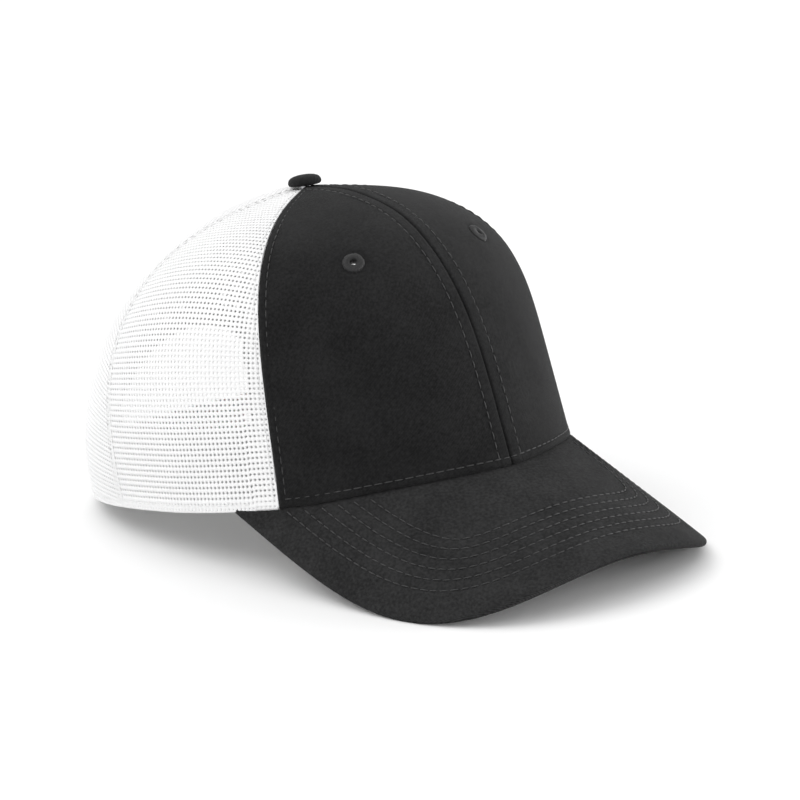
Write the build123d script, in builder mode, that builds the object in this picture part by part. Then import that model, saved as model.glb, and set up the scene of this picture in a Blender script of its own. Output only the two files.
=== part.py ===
from build123d import *
import os
from math import asin, ceil, cos, pi, radians, sin, sqrt, tan

# Trucker cap, millimetres. It stands on its rear rim and on the two lower corners of its visor.
# Its shape is laid out in the cap's own axes: the rim is the plane z = 0, the front is -Y,
# the wearer's right is -X, and the button is on the Z axis. CAP then tips it back onto the floor.
# An azimuth is measured at the button's axis: 0 at the front, 180 at the rear, positive to the right.

os.makedirs("parts", exist_ok=True)

# ---- Driving dimensions ----
# Rim plan: half width, half length, and the roundness of its front and rear halves (2 = ellipse)
RIM_HALF_WIDTH = 84.0
RIM_HALF_LENGTH = 102.5
RIM_CENTRE_Y = 2.5
RIM_FRONT_POWER = 1.8
RIM_REAR_POWER = 2.65

# Crown profile at the front, side and rear: lean of the wall, height of its straight foot,
# reach of the flat top, and slope of the top
CROWN_HEIGHT = 109.5
WALL_LEAN = (9.0, 1.1, -16.0)
FOOT_HEIGHT = (59.5, 56.8, 26.5)
TOP_REACH = (83.5, 91.5, 71.5)
TOP_SLOPE = (0.0, 8.0, -3.5)

# Azimuths of the seams, of the visor's ends and of the rear end of the sweatband
FRONT_SIDE_SEAM = 56.0
SIDE_REAR_SEAM = 114.0
VISOR_END = 63.0
PROFILE_STEP = 9.5
SWEATBAND_END = 153.0

# Depth below the crown's outer skin of each layer: (outer face, inner face)
FABRIC = (0.0, 0.9)
STIFFENER = (1.1, 2.1)
MESH = (0.0, 1.0)
FRONT_TAPE = (2.3, 2.9)
REAR_TAPE = (1.3, 1.9)
SWEATBAND = (3.5, 4.7)
LABEL = (2.3, 2.7)
BINDING = (-0.8, 1.8)
BINDING_SLOT = (-0.15, 1.15)
STIFFENER_GAP = 0.4

# Visor: pitch below the rim plane, bend radius, half width along the bend, length at the middle
VISOR_PITCH = 28.7
VISOR_BEND = 104.0
VISOR_HALF_WIDTH = 88.5
VISOR_LENGTH = 62.5
VISOR_SIDE_POWER = 2.96
VISOR_FRONT_POWER = 4.0
VISOR_COVER = 0.6
VISOR_THICK = 3.2
VISOR_EDGE = 0.8
VISOR_INSIDE = 1.3
VISOR_CLEARANCE = 0.15
INSIDE_REACH = 100.0
OUTLINE_HEIGHTS = (60.0, 106.0)
BAND_HALF_LENGTH = 100.0

# Rear opening: an arch in the XZ plane
ARCH_RADIUS = 37.0
ARCH_CENTRE_Z = 17.0
BINDING_WIDTH = 7.6
BINDING_EDGE = 0.9
BINDING_AZIMUTHS = (150.0, 210.0)
SLOT_AZIMUTHS = (148.0, 212.0)
ARCH_START_Y = 60.0
ARCH_DEPTH = 60.0
ARCH_LEGS = 40.0

# Snap strap across the opening
STRAP_BEND = 130.0
STRAP_INSET = 3.2
STRAP_THICK = 1.2
STRAP_GAP = 0.3
STRAP_LOW = 1.6
STRAP_HIGH = 20.6
STRAP_HINGE_X = 35.1
STRAP_TIP_X = 23.5
TAB_START_X = 36.0
TAB_END_X = 45.2
SNAP_PITCH = 9.0
SNAP_COUNT = 6
PEG_RADIUS = 1.9
PEG_LENGTH = 2.5
PEG_ROOT = 0.5
HOLE_RADIUS = 2.5
STRAP_TIP_ROUND = 6.0

# Button, eyelets, seam tape, sweatband and label
APEX_HOLE = 2.6
RIVET_RADIUS = 2.0
RIVET_TOP = 2.0
RIVET_HEAD_RADIUS = 3.0
RIVET_HEAD_THICK = 0.6
BUTTON_RADIUS = 6.5
BUTTON_HEIGHT = 4.6
BUTTON_LIFT = 0.5
BUTTON_SKIN = 0.6
DOME_CHAMFER = 0.5
DOME_RIM = 0.6
DOME_SHOULDER = (0.55, 0.25)
WASHER_RADIUS = 6.0
WASHER_THICK = 0.8
WASHER_DEPTH = 4.4
EYELET_AZIMUTH = 26.0
EYELET_HEIGHT = 84.8
EYELET_RADIUS = 4.2
EYELET_BORE = 1.2
EYELET_SLEEVE = 1.9
EYELET_HOLE = 2.1
EYELET_PROUD = 0.7
EYELET_SEAT = 0.2
EYELET_ROUND = 0.45
EYELET_LENGTH = 2.2
TAPE_WIDTH = 15.0
TAPE_WEDGE = 27.0
TAPE_LOW = 4.5
TAPE_GAP = 0.4
TAPE_BLOCK = (130.0, 240.0)
SWEATBAND_HEIGHT = 30.0
LABEL_AZIMUTHS = (-142.0, -124.0)
LABEL_HEIGHTS = (12.0, 48.0)

# Sizes of the blocks that trim a layer, and of a drill through one
SLAB_SIZE = 400.0
BELOW_RIM = -20.0
DRILL = 10.0

# Standing pose: tip back, lift off the floor, and shift that centres the length on the origin
TIP_BACK = 10.07
LIFT = 17.97
SHIFT_Y = 26.54

CAP = Plane(
    origin=(0, SHIFT_Y, LIFT),
    x_dir=(1, 0, 0),
    z_dir=(0, sin(radians(TIP_BACK)), cos(radians(TIP_BACK))),
)


# ---- The shape of the cap, in its own axes ----
def placed(x, y, z):
    """A point of the cap's own axes, in the standing pose."""
    return CAP.from_local_coords(Vector(x, y, z))


def turned(x, y, z):
    """A direction of the cap's own axes, in the standing pose."""
    return placed(x, y, z) - placed(0, 0, 0)


def around(values, azimuth):
    """A value given at the front, side and rear, at any azimuth between them."""
    front, side, rear = values
    angle = radians(azimuth)
    mean = (front + rear + 2 * side) / 4
    return mean + (front - rear) / 2 * cos(angle) + (front + rear - 2 * side) / 4 * cos(2 * angle)


def rim_radius(azimuth):
    """Distance from the button's axis to the rim, by Newton's method on the rim's plan curve."""
    across = -sin(radians(azimuth))
    along = -cos(radians(azimuth))
    radius = RIM_HALF_WIDTH
    for _ in range(14):
        y = radius * along - RIM_CENTRE_Y
        power = RIM_REAR_POWER if y > 0 else RIM_FRONT_POWER
        part_x = max(abs(radius * across) / RIM_HALF_WIDTH, 1e-9)
        part_y = max(abs(y) / RIM_HALF_LENGTH, 1e-9)
        error = part_x**power + part_y**power - 1
        slope_x = power * part_x ** (power - 1) * abs(across) / RIM_HALF_WIDTH
        slope_y = power * part_y ** (power - 1) * along * (1 if y > 0 else -1) / RIM_HALF_LENGTH
        radius -= error / (slope_x + slope_y)
    return radius


PITCH_SIN = sin(radians(VISOR_PITCH))
PITCH_COS = cos(radians(VISOR_PITCH))
VISOR_ROOT_Y = -rim_radius(0)


def visor_fall(x, y):
    """Height of the visor's upper face below its root, at a point of the plan."""
    bend_drop = VISOR_BEND - sqrt(VISOR_BEND**2 - x**2)
    forward = (VISOR_ROOT_Y - y + PITCH_SIN * bend_drop) / PITCH_COS
    return -PITCH_SIN * forward - PITCH_COS * bend_drop


VISOR_END_X = -rim_radius(VISOR_END) * sin(radians(VISOR_END))
VISOR_END_Y = -rim_radius(VISOR_END) * cos(radians(VISOR_END))
VISOR_ROOT_Z = -visor_fall(VISOR_END_X, VISOR_END_Y)
VISOR_BACK = VISOR_END_Y - VISOR_ROOT_Y


def foot_height(azimuth, radius):
    """Height of a layer's lower edge: on the visor's upper face in front, on the rim plane behind."""
    if abs(azimuth) > FRONT_SIDE_SEAM:
        return 0.0
    x = radius * sin(radians(azimuth))
    y = -radius * cos(radians(azimuth))
    return max(VISOR_ROOT_Z + visor_fall(x, y) + VISOR_CLEARANCE, 0.0)


def cut_curve(points, t):
    """Control points of the part of a Bezier curve before t, by de Casteljau's construction."""
    kept = [points[0]]
    while len(points) > 1:
        points = [(a[0] + (b[0] - a[0]) * t, a[1] + (b[1] - a[1]) * t) for a, b in zip(points, points[1:])]
        kept.append(points[0])
    return kept


def meridian(azimuth, depth):
    """Control points (radius, height) of the crown's profile at a depth, up to the button's hole."""
    shrink = 1 - depth / CROWN_HEIGHT
    radius = rim_radius(azimuth) - depth
    lean = tan(radians(around(WALL_LEAN, azimuth)))
    slope = tan(radians(around(TOP_SLOPE, azimuth)))
    height = around(FOOT_HEIGHT, azimuth) * shrink
    reach = around(TOP_REACH, azimuth) * shrink
    low = foot_height(azimuth, radius)
    low = foot_height(azimuth, radius - low * lean)
    top = CROWN_HEIGHT - depth
    whole = [
        (radius - low * lean, low),
        (radius - height * lean, height),
        (reach, top - reach * slope),
        (0, top),
    ]
    return cut_curve(whole, 1 - APEX_HOLE / (3 * reach))


def meridian_point(azimuth, depth, height):
    """The point of the cap's own axes where a profile reaches a height."""
    points = meridian(azimuth, depth)
    low, high = 0.0, 1.0
    for _ in range(40):
        t = (low + high) / 2
        weights = [(1 - t) ** 3, 3 * t * (1 - t) ** 2, 3 * t * t * (1 - t), t**3]
        z = sum(w * p[1] for w, p in zip(weights, points))
        low, high = (t, high) if z < height else (low, t)
    radius = sum(w * p[0] for w, p in zip(weights, points))
    return Vector(-radius * sin(radians(azimuth)), -radius * cos(radians(azimuth)), z)


def meridian_plane(azimuth):
    """Plane through the button's axis: x points out, y points up."""
    out = turned(-sin(radians(azimuth)), -cos(radians(azimuth)), 0)
    up = turned(0, 0, 1)
    return Plane(origin=placed(0, 0, 0), x_dir=out, z_dir=out.cross(up))


def crown_layer(start, end, layer):
    """One layer of the crown between two azimuths, lofted through its profiles."""
    count = max(2, ceil(abs(end - start) / PROFILE_STEP))
    with BuildPart() as shell:
        for i in range(count + 1):
            azimuth = start + (end - start) * i / count
            outer = meridian(azimuth, layer[0])
            inner = meridian(azimuth, layer[1])
            with BuildSketch(meridian_plane(azimuth)):
                with BuildLine():
                    Bezier(*outer)
                    Line(outer[-1], inner[-1])
                    Bezier(*reversed(inner))
                    Line(inner[0], outer[0])
                make_face()
        loft()
    return shell.part


ARCH_PLANE = Plane(origin=placed(0, ARCH_START_Y, 0), x_dir=(-1, 0, 0), z_dir=turned(0, 1, 0))


def arch_block(radius):
    """A block with the outline of the rear opening, through the rear wall and down past the rim."""
    with BuildPart() as block:
        with BuildSketch(ARCH_PLANE):
            with Locations((0, ARCH_CENTRE_Z)):
                Circle(radius)
                Rectangle(2 * radius, ARCH_LEGS, align=(Align.CENTER, Align.MAX))
        extrude(amount=ARCH_DEPTH)
    return block.part


def height_slab(low, high):
    """Everything between two heights above the rim plane."""
    with BuildPart() as slab:
        with BuildSketch(CAP.offset(low)):
            Rectangle(SLAB_SIZE, SLAB_SIZE)
        extrude(amount=high - low)
    return slab.part


# ---- The shape of the visor ----
VISOR_NORMAL = turned(0, -PITCH_SIN, PITCH_COS)
VISOR_FORWARD = turned(0, -PITCH_COS, -PITCH_SIN)
BEND_AXIS = placed(0, VISOR_ROOT_Y, VISOR_ROOT_Z) - VISOR_NORMAL * VISOR_BEND
BEND_PLANE = Plane(origin=BEND_AXIS, x_dir=(1, 0, 0), z_dir=VISOR_FORWARD)
OUTLINE_PLANE = Plane(origin=BEND_AXIS, x_dir=(1, 0, 0), z_dir=VISOR_NORMAL)


def outer_edge(edge_inset, height, count=20):
    """Points of the visor's outer edge at a height above the bend's axis, square to the bend."""
    half_width = VISOR_HALF_WIDTH - edge_inset
    length = VISOR_LENGTH - edge_inset + VISOR_BACK
    points = []
    for i in range(count + 1):
        angle = pi * i / count
        side = 1 if angle < pi / 2 else -1
        arc = side * half_width * abs(cos(angle)) ** (2 / VISOR_SIDE_POWER)
        forward = -VISOR_BACK + length * abs(sin(angle)) ** (2 / VISOR_FRONT_POWER)
        points.append((height * tan(arc / VISOR_BEND), -forward))
    return points


def outline_solid(edge_inset):
    """The visor's outline carried square to its bend, through its whole thickness."""
    with BuildPart() as outline:
        for height in OUTLINE_HEIGHTS:
            points = outer_edge(edge_inset, height)
            with BuildSketch(OUTLINE_PLANE.offset(height)):
                with BuildLine():
                    Spline(*points)
                    Line(points[-1], points[0])
                make_face()
        loft(ruled=True)
    return outline.part


def crown_foot(azimuth):
    """Plan point just inside the crown's lower edge."""
    radius = meridian(azimuth, 0)[0][0] - VISOR_INSIDE
    return (-radius * sin(radians(azimuth)), -radius * cos(radians(azimuth)))


def inside_crown(count=20):
    """Everything inside the crown's lower edge, over the visor's width."""
    points = [crown_foot(INSIDE_REACH - 2 * INSIDE_REACH * i / count) for i in range(count + 1)]
    with BuildPart() as inside:
        with BuildSketch(CAP.offset(-CROWN_HEIGHT)):
            with BuildLine():
                Spline(*points)
                Line(points[-1], points[0])
            make_face()
        extrude(amount=2 * CROWN_HEIGHT)
    return inside.part


def bent_band(top, bottom):
    """The visor's bend between two depths below its upper face."""
    with BuildPart() as band:
        with BuildSketch(BEND_PLANE.offset(-BAND_HALF_LENGTH)):
            Circle(VISOR_BEND - top)
            Circle(VISOR_BEND - bottom, mode=Mode.SUBTRACT)
        extrude(amount=2 * BAND_HALF_LENGTH)
    return band.part


def visor_sheet(top, bottom, edge_inset):
    """A sheet of the visor between two depths below its upper face."""
    with BuildPart() as sheet:
        add(outline_solid(edge_inset))
        add(bent_band(top, bottom), mode=Mode.INTERSECT)
        add(inside_crown(), mode=Mode.SUBTRACT)
    return sheet.part


def visor_lip(top, bottom):
    """The lip of a cover round the core's outer edge, between two depths."""
    with BuildPart() as lip:
        add(outline_solid(0))
        add(outline_solid(VISOR_EDGE), mode=Mode.SUBTRACT)
        add(bent_band(top, bottom), mode=Mode.INTERSECT)
        add(inside_crown(), mode=Mode.SUBTRACT)
    return lip.part


# ---- Front panels and their stiffeners ----
EYELET_SIDES = {"right": 1, "left": -1}


def eyelet_plane(side):
    """Plane on the outer skin at an eyelet, with its normal pointing out."""
    azimuth = side * EYELET_AZIMUTH
    here = meridian_point(azimuth, 0, EYELET_HEIGHT)
    along = meridian_point(azimuth + side, 0, EYELET_HEIGHT) - here
    above = meridian_point(azimuth, 0, EYELET_HEIGHT + 1) - here
    normal = along.cross(above)
    outward = normal if normal.dot(here) > 0 else -normal
    return Plane(origin=placed(*here), x_dir=turned(*along), z_dir=turned(*outward))


for side_name, side in EYELET_SIDES.items():
    with BuildPart() as front_panel:
        add(crown_layer(0, side * FRONT_SIDE_SEAM, FABRIC))
        with BuildSketch(eyelet_plane(side).offset(-DRILL)):
            Circle(EYELET_HOLE)
        extrude(amount=2 * DRILL, mode=Mode.SUBTRACT)
    front_panel.part.label = f"front_panel_{side_name}"
    export_step(front_panel.part, f"parts/front_panel_{side_name}.step")

    with BuildPart() as stiffener:
        add(crown_layer(side * STIFFENER_GAP, side * (FRONT_SIDE_SEAM - STIFFENER_GAP), STIFFENER))
        with BuildSketch(eyelet_plane(side).offset(-DRILL)):
            Circle(EYELET_HOLE)
        extrude(amount=2 * DRILL, mode=Mode.SUBTRACT)
    stiffener.part.label = f"front_stiffener_{side_name}"
    export_step(stiffener.part, f"parts/front_stiffener_{side_name}.step")

# ---- Embroidered eyelets: a proud ring with a sleeve through the panel and its stiffener ----
for side_name, side in EYELET_SIDES.items():
    with BuildPart() as eyelet:
        with BuildSketch(eyelet_plane(side).offset(EYELET_SEAT)):
            Circle(EYELET_RADIUS)
        extrude(amount=EYELET_PROUD)
        fillet(eyelet.edges().filter_by(GeomType.CIRCLE).sort_by_distance(CAP.origin)[-1], EYELET_ROUND)
        with BuildSketch(eyelet_plane(side).offset(EYELET_SEAT)):
            Circle(EYELET_SLEEVE)
        extrude(amount=-EYELET_LENGTH)
        with BuildSketch(eyelet_plane(side).offset(-DRILL)):
            Circle(EYELET_BORE)
        extrude(amount=2 * DRILL, mode=Mode.SUBTRACT)
    eyelet.part.label = f"eyelet_{side_name}"
    export_step(eyelet.part, f"parts/eyelet_{side_name}.step")

# ---- Net panels ----
for side_name, side in EYELET_SIDES.items():
    with BuildPart() as side_mesh:
        add(crown_layer(side * FRONT_SIDE_SEAM, side * SIDE_REAR_SEAM, MESH))
        add(visor_sheet(-VISOR_CLEARANCE, 2 * VISOR_THICK, -VISOR_CLEARANCE), mode=Mode.SUBTRACT)
    side_mesh.part.label = f"side_mesh_{side_name}"
    export_step(side_mesh.part, f"parts/side_mesh_{side_name}.step")

    with BuildPart() as rear_mesh:
        add(crown_layer(side * SIDE_REAR_SEAM, side * 180, MESH))
        add(arch_block(ARCH_RADIUS + BINDING_EDGE), mode=Mode.SUBTRACT)
    rear_mesh.part.label = f"rear_mesh_{side_name}"
    export_step(rear_mesh.part, f"parts/rear_mesh_{side_name}.step")

# ---- Binding folded over the edge of the rear opening ----
with BuildPart() as slot:
    add(crown_layer(*SLOT_AZIMUTHS, BINDING_SLOT))
    add(arch_block(ARCH_RADIUS + BINDING_EDGE), mode=Mode.SUBTRACT)

with BuildPart() as rear_opening_binding:
    add(crown_layer(*BINDING_AZIMUTHS, BINDING))
    add(arch_block(ARCH_RADIUS + BINDING_WIDTH), mode=Mode.INTERSECT)
    add(arch_block(ARCH_RADIUS), mode=Mode.SUBTRACT)
    add(slot.part, mode=Mode.SUBTRACT)
rear_opening_binding.part.label = "rear_opening_binding"
export_step(rear_opening_binding.part, "parts/rear_opening_binding.step")

# ---- Seam tapes inside the crown, mitred at the button ----
TAPES = {
    "front_centre_tape": (0, FRONT_TAPE),
    "front_side_tape_right": (FRONT_SIDE_SEAM, FRONT_TAPE),
    "front_side_tape_left": (-FRONT_SIDE_SEAM, FRONT_TAPE),
    "side_rear_tape_right": (SIDE_REAR_SEAM, REAR_TAPE),
    "side_rear_tape_left": (-SIDE_REAR_SEAM, REAR_TAPE),
    "rear_centre_tape": (180, REAR_TAPE),
}
for name, (azimuth, layer) in TAPES.items():
    with BuildPart() as tape:
        add(crown_layer(azimuth - TAPE_WEDGE, azimuth + TAPE_WEDGE, layer))
        with BuildSketch(meridian_plane(azimuth).offset(-TAPE_WIDTH / 2)):
            Rectangle(*TAPE_BLOCK, align=(Align.MIN, Align.CENTER))
        extrude(amount=TAPE_WIDTH, mode=Mode.INTERSECT)
        add(height_slab(TAPE_LOW, 2 * CROWN_HEIGHT), mode=Mode.INTERSECT)
        if azimuth == 180:
            add(arch_block(ARCH_RADIUS + BINDING_WIDTH + TAPE_GAP), mode=Mode.SUBTRACT)
    tape.part.label = name
    export_step(tape.part, f"parts/{name}.step")

# ---- Sweatband round the inside of the rim ----
with BuildPart() as sweatband:
    add(crown_layer(-SWEATBAND_END, SWEATBAND_END, SWEATBAND))
    add(height_slab(BELOW_RIM, SWEATBAND_HEIGHT), mode=Mode.INTERSECT)
sweatband.part.label = "sweatband"
export_step(sweatband.part, "parts/sweatband.step")

# ---- Blank label between the sweatband and the net ----
with BuildPart() as care_label:
    add(crown_layer(*LABEL_AZIMUTHS, LABEL))
    add(height_slab(*LABEL_HEIGHTS), mode=Mode.INTERSECT)
care_label.part.label = "care_label"
export_step(care_label.part, "parts/care_label.step")


# ---- Visor: a core board between two covers that meet round its edge ----
MID_THICK = VISOR_THICK / 2
with BuildPart() as visor_core:
    add(visor_sheet(VISOR_COVER, VISOR_THICK - VISOR_COVER, VISOR_EDGE))
visor_core.part.label = "visor_core"
export_step(visor_core.part, "parts/visor_core.step")

with BuildPart() as visor_top_cover:
    add(visor_sheet(0, VISOR_COVER, 0))
    add(visor_lip(VISOR_COVER, MID_THICK))
visor_top_cover.part.label = "visor_top_cover"
export_step(visor_top_cover.part, "parts/visor_top_cover.step")

with BuildPart() as visor_under_cover:
    add(visor_sheet(VISOR_THICK - VISOR_COVER, VISOR_THICK, 0))
    add(visor_lip(MID_THICK, VISOR_THICK - VISOR_COVER))
visor_under_cover.part.label = "visor_under_cover"
export_step(visor_under_cover.part, "parts/visor_under_cover.step")

# ---- Button: a covered core on a rivet, clinched inside the crown by a washer ----
BUTTON_PLANE = Plane(origin=placed(0, 0, CROWN_HEIGHT), x_dir=(1, 0, 0), z_dir=turned(0, -1, 0))


def dome(radius, low, high):
    """Half profile of a flat dome about the button's axis."""
    reach, drop = DOME_SHOULDER
    corner = (radius - DOME_CHAMFER, low)
    shoulder = (radius * reach, high - drop)
    return [(0, low), corner, (radius, low + DOME_RIM), shoulder, (0, high)]


def dome_solid(radius, low, high):
    """A flat dome about the button's axis, between two heights above the crown."""
    foot, corner, rim, shoulder, top = dome(radius, low, high)
    with BuildPart() as solid:
        with BuildSketch(BUTTON_PLANE):
            with BuildLine():
                Line(foot, corner)
                Line(corner, rim)
                Spline(rim, shoulder, top, tangents=[(0, 1), (-1, 0)])
                Line(top, foot)
            make_face()
        revolve(axis=Axis(BUTTON_PLANE.origin, CAP.z_dir))
    return solid.part


with BuildPart() as button_core:
    add(dome_solid(BUTTON_RADIUS - BUTTON_SKIN, BUTTON_LIFT + BUTTON_SKIN, BUTTON_HEIGHT - BUTTON_SKIN))
    with BuildSketch(CAP.offset(CROWN_HEIGHT)):
        Circle(RIVET_RADIUS)
    extrude(amount=RIVET_TOP, mode=Mode.SUBTRACT)
button_core.part.label = "button_core"
export_step(button_core.part, "parts/button_core.step")

with BuildPart() as button_cover:
    add(dome_solid(BUTTON_RADIUS, BUTTON_LIFT, BUTTON_HEIGHT))
    add(
        dome_solid(BUTTON_RADIUS - BUTTON_SKIN, BUTTON_LIFT + BUTTON_SKIN, BUTTON_HEIGHT - BUTTON_SKIN),
        mode=Mode.SUBTRACT,
    )
    with BuildSketch(CAP.offset(CROWN_HEIGHT)):
        Circle(RIVET_RADIUS)
    extrude(amount=RIVET_TOP, mode=Mode.SUBTRACT)
button_cover.part.label = "button_cover"
export_step(button_cover.part, "parts/button_cover.step")

WASHER_LOW = CROWN_HEIGHT - WASHER_DEPTH - WASHER_THICK
with BuildPart() as button_washer:
    with BuildSketch(CAP.offset(WASHER_LOW)):
        Circle(WASHER_RADIUS)
        Circle(RIVET_RADIUS, mode=Mode.SUBTRACT)
    extrude(amount=WASHER_THICK)
button_washer.part.label = "button_washer"
export_step(button_washer.part, "parts/button_washer.step")

with BuildPart() as button_rivet:
    with BuildSketch(CAP.offset(WASHER_LOW)):
        Circle(RIVET_RADIUS)
    extrude(amount=WASHER_DEPTH + WASHER_THICK + RIVET_TOP)
    with BuildSketch(CAP.offset(WASHER_LOW)):
        Circle(RIVET_HEAD_RADIUS)
    extrude(amount=-RIVET_HEAD_THICK)
button_rivet.part.label = "button_rivet"
export_step(button_rivet.part, "parts/button_rivet.step")

# ---- Snap strap: two strips that overlap across the rear opening, each hinged on its sewn tab ----
REAR_Y = RIM_CENTRE_Y + RIM_HALF_LENGTH
HOLE_STRIP_RADIUS = STRAP_BEND
PEG_STRIP_RADIUS = STRAP_BEND - STRAP_THICK - STRAP_GAP
BEND_CENTRE_Y = REAR_Y - STRAP_INSET - STRAP_BEND


def strip_point(radius, x):
    """Plan point of a strip's face at one x."""
    return (x, BEND_CENTRE_Y + sqrt(radius**2 - x**2))


def strip_face(outer, start_x, end_x):
    """Plan of a strip between two x positions, its ends square to its bend."""
    inner = outer - STRAP_THICK
    scale = inner / outer
    middle = (start_x + end_x) / 2
    ThreePointArc(strip_point(outer, start_x), strip_point(outer, middle), strip_point(outer, end_x))
    Line(strip_point(outer, end_x), strip_point(inner, end_x * scale))
    ThreePointArc(
        strip_point(inner, end_x * scale),
        strip_point(inner, middle * scale),
        strip_point(inner, start_x * scale),
    )
    Line(strip_point(inner, start_x * scale), strip_point(outer, start_x))


def strip_solid(outer, start_x, end_x):
    """A strip standing on its edge between the strap's two heights."""
    with BuildPart() as strip:
        with BuildSketch(CAP.offset(STRAP_LOW)):
            with BuildLine():
                strip_face(outer, start_x, end_x)
            make_face()
        extrude(amount=STRAP_HIGH - STRAP_LOW)
    return strip.part


def hinge_knuckle(outer, hinge_x):
    """Rounded root end of a strip, on its hinge line."""
    middle = outer - STRAP_THICK / 2
    with BuildPart() as knuckle:
        with BuildSketch(CAP.offset(STRAP_LOW)):
            with Locations(strip_point(middle, hinge_x)):
                Circle(STRAP_THICK / 2)
        extrude(amount=STRAP_HIGH - STRAP_LOW)
    return knuckle.part


def snap_plane(x):
    """Plane on the strap's middle line at one snap, with its normal pointing out of the bend."""
    angle = asin(x / PEG_STRIP_RADIUS)
    out = Vector(sin(angle), cos(angle), 0)
    height = (STRAP_LOW + STRAP_HIGH) / 2
    origin = Vector(0, BEND_CENTRE_Y, height) + out * PEG_STRIP_RADIUS
    return Plane(origin=placed(*origin), x_dir=turned(0, 0, 1), z_dir=turned(*out))


SNAP_X = [(i - (SNAP_COUNT - 2) / 2) * SNAP_PITCH for i in range(SNAP_COUNT)]

with BuildPart() as hole_strap:
    add(strip_solid(HOLE_STRIP_RADIUS, -STRAP_TIP_X, STRAP_HINGE_X))
    add(hinge_knuckle(HOLE_STRIP_RADIUS, STRAP_HINGE_X))
    for snap_x in SNAP_X:
        with BuildSketch(snap_plane(snap_x).offset(-DRILL)):
            Circle(HOLE_RADIUS)
        extrude(amount=2 * DRILL, mode=Mode.SUBTRACT)
    tip_edges = hole_strap.edges().filter_by(lambda e: abs(e.length - STRAP_THICK) < 0.05)
    fillet(tip_edges.sort_by(Axis.X)[:2], STRAP_TIP_ROUND)
hole_strap.part.label = "hole_strap"
export_step(hole_strap.part, "parts/hole_strap.step")

with BuildPart() as peg_strap:
    add(strip_solid(PEG_STRIP_RADIUS, -STRAP_HINGE_X, STRAP_TIP_X))
    add(hinge_knuckle(PEG_STRIP_RADIUS, -STRAP_HINGE_X))
    tip_edges = peg_strap.edges().filter_by(lambda e: abs(e.length - STRAP_THICK) < 0.05)
    fillet(tip_edges.sort_by(Axis.X)[-2:], STRAP_TIP_ROUND)
    for snap_x in SNAP_X:
        with BuildSketch(snap_plane(-snap_x).offset(-PEG_ROOT)):
            Circle(PEG_RADIUS)
        extrude(amount=PEG_LENGTH + PEG_ROOT)
peg_strap.part.label = "peg_strap"
export_step(peg_strap.part, "parts/peg_strap.step")

with BuildPart() as hole_strap_tab:
    add(strip_solid(HOLE_STRIP_RADIUS, TAB_START_X, TAB_END_X))
hole_strap_tab.part.label = "hole_strap_tab"
export_step(hole_strap_tab.part, "parts/hole_strap_tab.step")

with BuildPart() as peg_strap_tab:
    add(strip_solid(PEG_STRIP_RADIUS, -TAB_END_X, -TAB_START_X))
peg_strap_tab.part.label = "peg_strap_tab"
export_step(peg_strap_tab.part, "parts/peg_strap_tab.step")
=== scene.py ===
import math

import bmesh
import bpy
import numpy as np
from mathutils import Matrix, Vector

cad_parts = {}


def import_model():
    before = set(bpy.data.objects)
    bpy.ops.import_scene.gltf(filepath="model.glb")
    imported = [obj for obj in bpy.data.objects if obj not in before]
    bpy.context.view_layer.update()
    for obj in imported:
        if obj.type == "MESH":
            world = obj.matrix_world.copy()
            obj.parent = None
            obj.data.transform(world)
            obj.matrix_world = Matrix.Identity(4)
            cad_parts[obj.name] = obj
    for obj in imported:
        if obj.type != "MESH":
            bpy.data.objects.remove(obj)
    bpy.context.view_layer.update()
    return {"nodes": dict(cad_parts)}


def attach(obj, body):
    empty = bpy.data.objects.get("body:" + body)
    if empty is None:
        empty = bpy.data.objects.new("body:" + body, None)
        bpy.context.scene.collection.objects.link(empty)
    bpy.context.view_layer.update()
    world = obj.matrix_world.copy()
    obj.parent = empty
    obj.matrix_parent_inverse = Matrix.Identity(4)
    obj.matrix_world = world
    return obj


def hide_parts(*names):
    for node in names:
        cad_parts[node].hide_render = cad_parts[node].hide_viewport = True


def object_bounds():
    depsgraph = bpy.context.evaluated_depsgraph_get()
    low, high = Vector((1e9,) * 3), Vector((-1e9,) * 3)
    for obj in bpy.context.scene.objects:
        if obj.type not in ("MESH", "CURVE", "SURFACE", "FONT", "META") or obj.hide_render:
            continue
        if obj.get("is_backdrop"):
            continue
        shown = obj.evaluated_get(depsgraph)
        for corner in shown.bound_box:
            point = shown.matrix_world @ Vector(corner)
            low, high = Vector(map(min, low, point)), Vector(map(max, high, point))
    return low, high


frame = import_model()

# The cap's looks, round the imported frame. Shapes are worked out in the cap's own axes, in
# millimetres, as in the CAD model: the rim is z = 0, the front -Y, the wearer's right -X, and
# the button is on the Z axis. Everything is turned into the standing pose and metres by world().
# Azimuths are in degrees about the button's axis, 0 at the front, 180 at the rear.

# ---- The cap's driving dimensions, as in the CAD model ----
RIM_HALF_WIDTH, RIM_HALF_LENGTH, RIM_CENTRE_Y = 84.0, 102.5, 2.5
RIM_FRONT_POWER, RIM_REAR_POWER = 1.8, 2.65
CROWN_HEIGHT = 109.5
WALL_LEAN = (9.0, 1.1, -16.0)
FOOT_HEIGHT = (59.5, 56.8, 26.5)
TOP_REACH = (83.5, 91.5, 71.5)
TOP_SLOPE = (0.0, 8.0, -3.5)
APEX_HOLE = 2.6
FRONT_SIDE_SEAM, SIDE_REAR_SEAM, VISOR_END = 56.0, 114.0, 63.0
SWEATBAND_END, SWEATBAND_HEIGHT = 153.0, 30.0
VISOR_TAIL = 70.0
VISOR_PITCH, VISOR_BEND = 28.7, 104.0
VISOR_HALF_WIDTH, VISOR_LENGTH = 88.5, 62.5
VISOR_SIDE_POWER, VISOR_FRONT_POWER = 2.96, 4.0
VISOR_THICK, VISOR_INSIDE, VISOR_CLEARANCE = 3.2, 1.3, 0.15
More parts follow.
